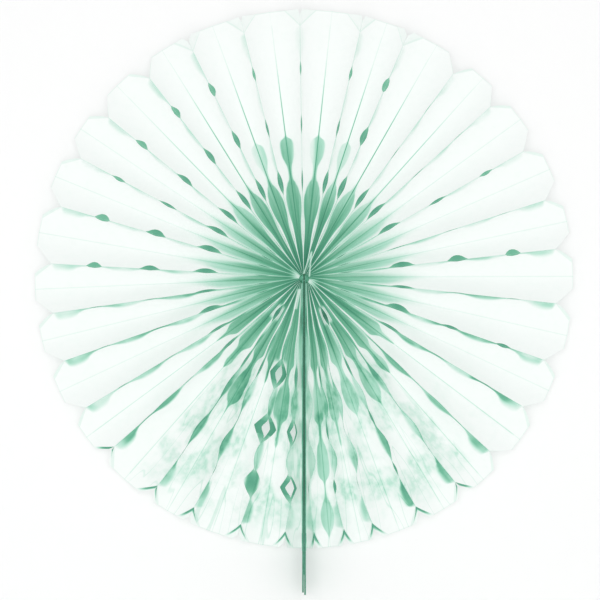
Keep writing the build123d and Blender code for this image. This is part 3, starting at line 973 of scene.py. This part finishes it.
@dataclass
class TissueSheet:
    """One ply of the fan: cut flat with its holes and corners, then folded.

    Uncut says how much of its corner cut a crest keeps, and gaping how far a slack (crest, hole) stands open.
    """

    name: str
    node: str
    ply: Ply
    sizes: FanSizes
    hole_half_length: float
    hole_depth: float
    looks: tuple[HoleLook, ...] = ()
    gaping: dict[tuple[int, int], float] = field(default_factory=dict)
    uncut: dict[int, float] = field(default_factory=dict)
    row_length: float = 6.6 * MM
    hole_row_length: float = 2.9 * MM
    columns: int = 9
    lap_rows: int = 48
    hole_bluntness: float = 1.4
    first_gape_half: float = 12 * MM
    parting_halves: tuple[float, ...] = (8 * MM, 12 * MM, 9.5 * MM, 7.5 * MM)
    back_parting: float = 0.02 * MM
    sharp_angle: float = 42

    def rows(self) -> list[float]:
        """The distances from the hub at which the strip has points.

        Returns:
            Radii that include every corner of a hole or a cut.
        """
        keys = [self.sizes.hub_radius]
        for hole in self.sizes.hole_radii:
            keys += [hole - self.hole_half_length, hole, hole + self.hole_half_length]
        keys += [self.sizes.notch_radius, self.sizes.fan_radius]
        rows = [keys[0]]
        for start, end in zip(keys, keys[1:]):
            middle = (start + end) / 2
            in_hole = any(abs(middle - hole) < self.hole_half_length for hole in self.sizes.hole_radii)
            count = math.ceil((end - start) / (self.hole_row_length if in_hole else self.row_length))
            rows += [start + (end - start) * (i + 1) / count for i in range(count)]
        return rows

    def reach(self, radius: float, crest: int) -> float:
        """How far a panel reaches from its valley towards its crest.

        Args:
            radius: the distance from the hub.
            crest: the crest's number.

        Returns:
            A share of the panel's width, less than 1 in a hole or a corner cut.
        """
        width = self.sizes.pleat_width
        if radius > self.sizes.notch_radius:
            share = (radius - self.sizes.notch_radius) / self.sizes.corner_cut
            if self.ply is Ply.BACK:
                share = max(0.0, share - self.uncut.get(crest, 0.0))
            return 1 - (width - self.sizes.flat_half_width) * share / width
        for hole in self.sizes.hole_radii:
            off = abs(radius - hole) / self.hole_half_length
            if off < 1:
                return 1 - self.hole_depth * (1 - off**self.hole_bluntness) / width
        return 1.0

    def opening(self, crest: int, radius: float) -> float:
        """How far a slack hole stands open.

        Args:
            crest: the crest's number.
            radius: the distance from the hub.

        Returns:
            A share of the panel.
        """
        halves = (self.first_gape_half, *[self.hole_half_length] * (self.sizes.holes - 1))
        return sum(
            self.gaping.get((crest, number), 0.0) * max(0.0, 1 - abs(radius - hole) / half)
            for number, (hole, half) in enumerate(zip(self.sizes.hole_radii, halves))
        )

    def parting(self, crest: int, radius: float) -> float:
        """How far a hole's edge stands from its crest, seen from the front.

        Args:
            crest: the crest's number.
            radius: the distance from the hub.

        Returns:
            A length, most at the middle of a hole and at the sides of the fan.
        """
        if self.ply is Ply.BACK:
            return self.back_parting
        level = abs(math.cos(math.radians(self.sizes.crest_azimuths()[crest])))
        for number, (hole, half) in enumerate(zip(self.sizes.hole_radii, self.parting_halves)):
            off = abs(radius - hole) / half
            if off < 1:
                look = self.looks[crest] if number else HoleLook.SHUT
                return look.value[number > 1] * (0.42 + 0.58 * level) * (1 - off * off)
        return 0.0

    def cut(self) -> Strip:
        """Cuts the flat strip.

        Returns:
            The strip, x across the folds and y away from the hub.
        """
        sizes, width, strip, seen = self.sizes, self.sizes.pleat_width, Strip(), {}
        azimuths = sizes.crest_azimuths()
        for panel in range(sizes.lines - 1):
            valley, crest = (panel, panel + 1) if panel % 2 == 0 else (panel + 1, panel)
            side, number = crest - valley, crest // 2
            grid = []
            for radius in self.rows():
                reach = self.reach(radius, number)
                numbers = {
                    "across": 0.0,
                    "radius": radius,
                    "valley": valley,
                    "crest": crest,
                    "loose": sizes.looseness(azimuths[number]),
                    "opening": self.opening(number, radius),
                    "reach": reach if radius < sizes.notch_radius else 1.0,
                    "parting": self.parting(number, radius),
                    "hollow": sizes.hollow(valley // 2),
                }
                row = []
                for column in range(self.columns + 1):
                    across = reach * column / self.columns
                    x = valley * width + side * across * width
                    key = (round(x * 1e6), round(radius * 1e6))
                    if key not in seen:
                        seen[key] = strip.add((x, radius, 0.0), numbers | {"across": across})
                    row.append(seen[key])
                grid.append(row)
            for near, far in zip(grid, grid[1:]):
                quads = [(near[i], near[i + 1], far[i + 1], far[i]) for i in range(self.columns)]
                strip.add_faces(quads, side)
        return strip

    def thicken(self, strip: Strip) -> Piece:
        """Gives the cut strip its back skin and its cut edges, and the laps of the back ply.

        Args:
            strip: the strip, whose quads face the viewer once folded.

        Returns:
            The strip as an object with its attributes.
        """
        count, quads, sides = len(strip.points), list(strip.faces), list(strip.sides)
        edges = {}
        for number, quad in enumerate(quads):
            for start, end in zip(quad, quad[1:] + quad[:1]):
                edges[start, end] = number
        strip.faces += [tuple(i + count for i in quad[::-1]) for quad in quads]
        strip.sides += sides
        for (start, end), number in edges.items():
            if (end, start) not in edges:
                strip.faces.append((end, start, start + count, end + count))
                strip.sides.append(sides[number])
        strip.points += [(x, y, -self.sizes.tissue) for x, y, _ in strip.points]
        strip.kept = {name: values * 2 for name, values in strip.kept.items()}
        strip.kept["skin"] = [0.0] * count + [1.0] * count
        strip.kept["lap"] = [0.0] * len(strip.points)
        if self.ply is Ply.BACK:
            for side in Side:
                self.add_lap(side, strip)
        mesh = bpy.data.meshes.new(self.name)
        mesh.from_pydata(strip.points, [], strip.faces)
        numbers = [(name, "POINT", values) for name, values in strip.kept.items()]
        for name, domain, values in (*numbers, ("side", "FACE", strip.sides)):
            mesh.attributes.new(name, "FLOAT", domain).data.foreach_set("value", np.array(values, np.float32))
        piece = bpy.data.objects.new(self.name, mesh)
        bpy.context.scene.collection.objects.link(piece)
        return piece

    def add_lap(self, side: Side, strip: Strip) -> None:
        """Adds the lap that is glued on one end card, already in its place.

        Args:
            side: the side of the seam.
            strip: the strip that it is added to.
        """
        sizes, rows, width = self.sizes, self.lap_rows, self.sizes.pleat_width
        inner, outer = side.value * sizes.card_face, side.value * sizes.seam_half_width
        ends = (sizes.hub_radius, sizes.fan_radius)
        near, far = (math.sqrt(radius**2 - sizes.seam_half_width**2) for radius in ends)
        full = ("across", "lap", "loose", "crest", "reach")
        plain = dict.fromkeys(strip.kept, 0.0) | dict.fromkeys(full, 1.0)
        first = len(strip.points)
        for i in range(rows + 1):
            drop = near + (far - near) * i / rows
            for x, y in ((inner, 0.0), (inner, -width), (outer, -width), (outer, 0.0)):
                strip.add((x, y, -drop), plain | {"radius": drop})
        last = first + 4 * rows
        faces = [(first + 3, first + 2, first + 1, first), (last, last + 1, last + 2, last + 3)]
        for base in range(first, last, 4):
            for j, k in ((0, 1), (1, 2), (2, 3), (3, 0)):
                faces.append((base + j, base + k, base + 4 + k, base + 4 + j))
        strip.add_faces(faces, side.value)

    def fold(self, piece: Piece, rule: FoldRule, guide: Piece, finish: Material) -> None:
        """Folds the strip and keeps the result as a plain mesh.

        Args:
            piece: the flat strip.
            rule: the fold rule.
            guide: the fold lines.
            finish: the tissue's material.
        """
        modifier = piece.modifiers.new("fold", "NODES")
        modifier.node_group = rule.tree
        given = rule.numbers() | {"Ply": float(self.ply.value), "Fold Lines": guide, "Finish": finish}
        for item in rule.tree.interface.items_tree:
            if item.in_out == "INPUT" and item.name in given:
                modifier[item.identifier] = given[item.name]
        folded = bpy.data.meshes.new_from_object(piece.evaluated_get(bpy.context.evaluated_depsgraph_get()))
        piece.modifiers.remove(modifier)
        piece.data = folded
        folded.polygons.foreach_set("use_smooth", [True] * len(folded.polygons))
        folded.set_sharp_from_angle(angle=math.radians(self.sharp_angle))

    def make(self, rule: FoldRule, guide: Piece, finish: Material) -> None:
        """Cuts, folds and dresses the ply, in the place of its solid.

        Args:
            rule: the fold rule.
            guide: the fold lines.
            finish: the tissue's material.
        """
        piece = self.thicken(self.cut())
        self.fold(piece, rule, guide, finish)
        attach(piece, "root")
        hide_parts(self.node)
        LOG.info("%s: %d faces", self.name, len(piece.data.polygons))


@dataclass
class Tissue:
    """Both plies, folded on one set of fold lines.

    Looks go round from the right of the seam, one for each crest. Slack holes are (crest, hole) with how far each
    stands open.
    """

    sizes: FanSizes
    looks: str = (
        "SHUT SLIT SHUT SLIT SHUT SHUT SLIT_THEN_SHUT ARCH_THEN_SLIT SLIT_THEN_SHUT ARCH SHUT "
        "LENS_THEN_SLIT LENS_THEN_SHUT LENS_THEN_SHUT ARCH LENS_THEN_SLIT SLIT LENS_THEN_SLIT LENS LENS "
        "LENS LENS_THEN_SLIT ARCH LENS SLIT_THEN_SHUT LENS_THEN_SHUT SLIT_THEN_SHUT SLIT_THEN_SHUT "
        "SLIT_THEN_SHUT SLIT_THEN_SHUT ARCH LENS"
    )
    front_hole: tuple[float, float] = (16 * MM, 9 * MM)
    back_hole: tuple[float, float] = (10 * MM, 6 * MM)

    def slack_holes(self) -> dict[tuple[int, int], float]:
        """The front ply's slack holes."""
        near_seam = {(30, 1): 0.93, (30, 2): 0.75, (30, 3): 0.38, (31, 2): 0.3, (31, 3): 0.45}
        return near_seam | {(28, 0): 0.22, (3, 0): 0.3}

    def slack_behind(self) -> dict[tuple[int, int], float]:
        """The back ply's slack holes."""
        return {(30, 1): 0.25, (30, 2): 0.2, (31, 2): 0.14, (31, 3): 0.22}

    def paper_at_notches(self) -> dict[int, float]:
        """How much of their corner cut the back ply's crests keep, near the seam and at the top."""
        left, right = {27: 0.2, 28: 0.3, 29: 0.6, 30: 0.6, 31: 0.55}, {0: 0.55, 1: 0.5, 2: 0.4, 3: 0.35, 4: 0.2}
        return left | right | {14: 0.6, 15: 0.85, 16: 0.85, 17: 0.85, 18: 0.6}

    def guide(self) -> Piece:
        """Draws the fold lines.

        Returns:
            An object with one edge for each fold line, its hub end first.
        """
        points = [(x, 0.0, z) for ends in self.sizes.line_ends() for x, z in ends]
        mesh = bpy.data.meshes.new("fold_lines")
        mesh.from_pydata(points, [(2 * i, 2 * i + 1) for i in range(self.sizes.lines)], [])
        lines = bpy.data.objects.new("fold_lines", mesh)
        bpy.context.scene.collection.objects.link(lines)
        return lines

    def make(self) -> None:
        """Makes the front and the back ply."""
        rule = FoldRule(self.sizes)
        rule.build()
        fold_shade = PaintedFoldShade(self.sizes).build()
        # The back ply's finish is painted darker where the front ply's holes show it.
        front_finish = TissueFinish("tissue_front", painted_hole_shade=0.0, crumple_shade_strength=0.25).build(fold_shade)
        back_finish = TissueFinish("tissue_back", painted_hole_shade=0.72, crumple_shade_strength=0.12).build(fold_shade)
        guide = self.guide()
        front = TissueSheet("tissue_front_ply", "front_ply", Ply.FRONT, self.sizes, *self.front_hole)
        front.looks = tuple(HoleLook[look] for look in self.looks.split())
        front.gaping = self.slack_holes()
        front.make(rule, guide, front_finish)
        back = TissueSheet("tissue_back_ply", "back_ply", Ply.BACK, self.sizes, *self.back_hole)
        back.uncut = self.paper_at_notches()
        back.gaping = self.slack_behind()
        back.make(rule, guide, back_finish)
        bpy.data.objects.remove(guide)


@dataclass
class Seam:
    """The two end cards, the tape that holds them together and the glue at the hub."""

    card: BoardFinish = BoardFinish("dyed_card", (0.045, 0.22, 0.135), (0.075, 0.29, 0.195), 0.7)
    tape: BoardFinish = BoardFinish("seam_tape_paper", (0.26, 0.56, 0.43), (0.36, 0.68, 0.55), 0.6, 420.0)
    glue: BoardFinish = BoardFinish("hub_glue_bead", (0.14, 0.44, 0.31), (0.24, 0.6, 0.45), 0.6, 300.0)

    def dress(self) -> None:
        """Gives each of the stiff pieces its finish."""
        card, tape, glue = self.card.build(), self.tape.build(), self.glue.build()
        finishes = {"right_end_card": card, "left_end_card": card, "seam_tape": tape, "hub_glue": glue}
        for node, finish in finishes.items():
            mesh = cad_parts[node].data
            mesh.materials.clear()
            mesh.materials.append(finish)
            LOG.info("%s: %s", node, finish.name)


@dataclass(frozen=True)
class Studio:
    """A pale wall close behind the fan, a pale floor under it, soft light from the front, and the camera."""

    distance: float = 3.0
    centre_x: float = -0.004
    centre_z: float = -0.021
    view_width: float = 0.6
    film_width: float = 36.0
    farthest: float = 20.0
    wall_gap: float = 0.005
    floor_level: float = -0.36
    stage_reach: float = 2.0
    wall_colour: Triple = (0.79, 0.79, 0.79)
    wall_glow: float = 0.13
    floor_colour: Triple = (0.9, 0.91, 0.9)
    floor_glow: float = 0.2
    floor_shine: float = 0.5
    sky_light: float = 0.775
    lamp_power: float = 8.5
    lamp_size: tuple[float, float] = (1.4, 1.0)
    lamp_place: Triple = (-0.05, -1.8, 0.12)
    lamp_turn: Triple = (86, 0, -2)

    def plane(self, name: str, corners: list[Triple], material: Material) -> None:
        """Adds a flat part of the stage.

        Args:
            name: its name.
            corners: its corners, counted so that it faces the fan.
            material: its finish.
        """
        mesh = bpy.data.meshes.new(name)
        mesh.from_pydata(corners, [], [tuple(range(len(corners)))])
        mesh.materials.append(material)
        plane = bpy.data.objects.new(name, mesh)
        bpy.context.scene.collection.objects.link(plane)

    def matt(self, name: str, colour: Triple, shine: float, glow: float) -> Paint:
        """Starts a matt finish that glows a little.

        Args:
            name: the material's name.
            colour: its colour.
            shine: how much it mirrors.
            glow: how much it glows.

        Returns:
            The material on the bench.
        """
        paint = Paint(name)
        looks = {
            "Base Color": (*colour, 1.0),
            "Roughness": 1.0,
            "Specular IOR Level": shine,
            "Emission Color": WHITE,
            "Emission Strength": glow,
        }
        paint.wire(paint.surface, looks)
        return paint

    def wall_finish(self) -> Material:
        """A white wall that isn't there from behind.

        Returns:
            The material.
        """
        paint = self.matt("studio_wall", self.wall_colour, 0.0, self.wall_glow)
        clear = paint.node("ShaderNodeBsdfTransparent")
        mix = paint.node("ShaderNodeMixShader")
        plug(paint.node("ShaderNodeNewGeometry").outputs["Backfacing"], mix.inputs[0])
        plug(paint.surface.outputs[0], mix.inputs[1])
        plug(clear.outputs[0], mix.inputs[2])
        plug(mix.outputs[0], paint.tree.nodes["Material Output"].inputs["Surface"])
        return paint.material

    def build_stage(self) -> None:
        """Puts up the wall and the floor."""
        y, low, reach = self.wall_gap, self.floor_level, self.stage_reach
        wall = [(-reach, y, low), (reach, y, low), (reach, y, reach), (-reach, y, reach)]
        self.plane("studio_wall", wall, self.wall_finish())
        floor = [(-reach, -reach, low), (reach, -reach, low), (reach, y, low), (-reach, y, low)]
        floor_finish = self.matt("studio_floor", self.floor_colour, self.floor_shine, self.floor_glow).material
        self.plane("studio_floor", floor, floor_finish)

    def light(self) -> None:
        """Sets an even sky, white where it is seen, and one broad soft lamp in front and above."""
        world = bpy.data.worlds.new("studio_sky")
        bpy.context.scene.world = world
        world.use_nodes = True
        bench = Workbench(world.node_tree)
        rays = bench.node("ShaderNodeLightPath").outputs
        seen = Field(rays["Is Camera Ray"]).at_least(Field(rays["Is Glossy Ray"]))
        sky = {"Color": WHITE, "Strength": seen.between(self.sky_light, 1.0)}
        bench.wire(world.node_tree.nodes["Background"], sky)
        lamp = bpy.data.lights.new("front_lamp", "AREA")
        lamp.shape = "RECTANGLE"
        lamp.size, lamp.size_y = self.lamp_size
        lamp.energy = self.lamp_power
        holder = bpy.data.objects.new("front_lamp", lamp)
        holder.location = self.lamp_place
        holder.rotation_euler = [math.radians(angle) for angle in self.lamp_turn]
        bpy.context.scene.collection.objects.link(holder)

    def camera(self) -> None:
        """Looks straight at the wall, level, from far enough for a flat picture."""
        data = bpy.data.cameras.new("camera")
        data.sensor_width = self.film_width
        data.lens = self.film_width * self.distance / self.view_width
        data.clip_end = self.farthest
        camera = bpy.data.objects.new("camera", data)
        camera.location = (self.centre_x, -self.distance, self.centre_z)
        camera.rotation_euler = (math.radians(90), 0.0, 0.0)
        bpy.context.scene.collection.objects.link(camera)
        bpy.context.scene.camera = camera

    def build(self) -> None:
        """Sets up the stage, the light and the camera."""
        self.build_stage()
        self.light()
        self.camera()
        bpy.context.scene.view_settings.view_transform = "Standard"
        LOG.info("studio ready")


def main() -> None:
    """Builds the fan from the tissue outwards, then the studio round it."""
    logging.basicConfig(level=logging.INFO, format="%(message)s")
    Tissue(FanSizes()).make()
    Seam().dress()
    Studio().build()


if __name__ == "__main__":
    main()
